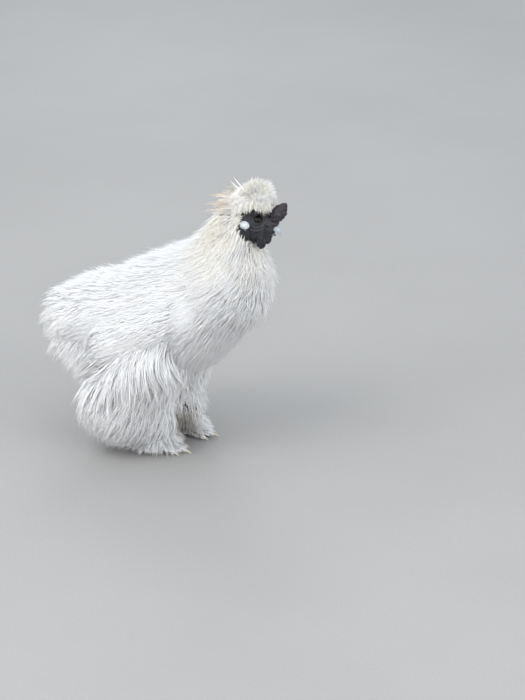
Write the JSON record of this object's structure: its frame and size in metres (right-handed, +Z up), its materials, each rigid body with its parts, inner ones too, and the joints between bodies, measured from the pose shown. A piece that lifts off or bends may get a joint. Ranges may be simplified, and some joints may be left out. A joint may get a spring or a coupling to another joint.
{
  "type": "silkie chicken",
  "caption": "Life-size standing silkie cockerel with a round crest, dark walnut comb and wattles, loose silky plumage, cushion tail and feathered five-toed feet.",
  "frame": {"origin": "on the floor, under the middle of the bird's length and width", "axes": "+X forward towards the beak, +Y to the bird's left, +Z up"},
  "size_m": [0.3446, 0.221, 0.3658],
  "materials": {
    "beak_horn": "slate horn, paler at the tip",
    "body_plumage": "white loose silky plumage",
    "claw_horn": "pale horn",
    "comb_skin": "dark mulberry flesh with a dull sheen",
    "crest_plumage": "soft cream white crest",
    "earlobe_skin": "pale blue white skin",
    "eye": "wet black eye",
    "face_skin": "bare mulberry black skin, finely pebbled",
    "foot_skin": "slate blue scaled skin",
    "leg_plumage": "white fluff, soiled near the floor",
    "neck_plumage": "white plumage tinged with cream",
    "tail_plumage": "white shredded tail plumes",
    "wing_plumage": "white shredded flight feathers"
  },
  "bodies": {
    "root": {"beak_lower": "beak_horn", "beak_upper": "beak_horn", "claw_extra_left": "claw_horn", "claw_extra_right": "claw_horn", "claw_hind_left": "claw_horn", "claw_hind_right": "claw_horn", "claw_inner_left": "claw_horn", "claw_inner_right": "claw_horn", "claw_middle_left": "claw_horn", "claw_middle_right": "claw_horn", "claw_outer_left": "claw_horn", "claw_outer_right": "claw_horn", "comb": "comb_skin", "crest": "crest_plumage", "earlobe_left": "earlobe_skin", "earlobe_right": "earlobe_skin", "eye_left": "eye", "eye_right": "eye", "foot_left": "foot_skin", "foot_right": "foot_skin", "head": "face_skin", "leg_left": "leg_plumage", "leg_right": "leg_plumage", "neck": "neck_plumage", "tail": "tail_plumage", "torso": "body_plumage", "wattle_left": "comb_skin", "wattle_right": "comb_skin", "wing_left": "wing_plumage", "wing_right": "wing_plumage"}
  },
  "joints": []
}
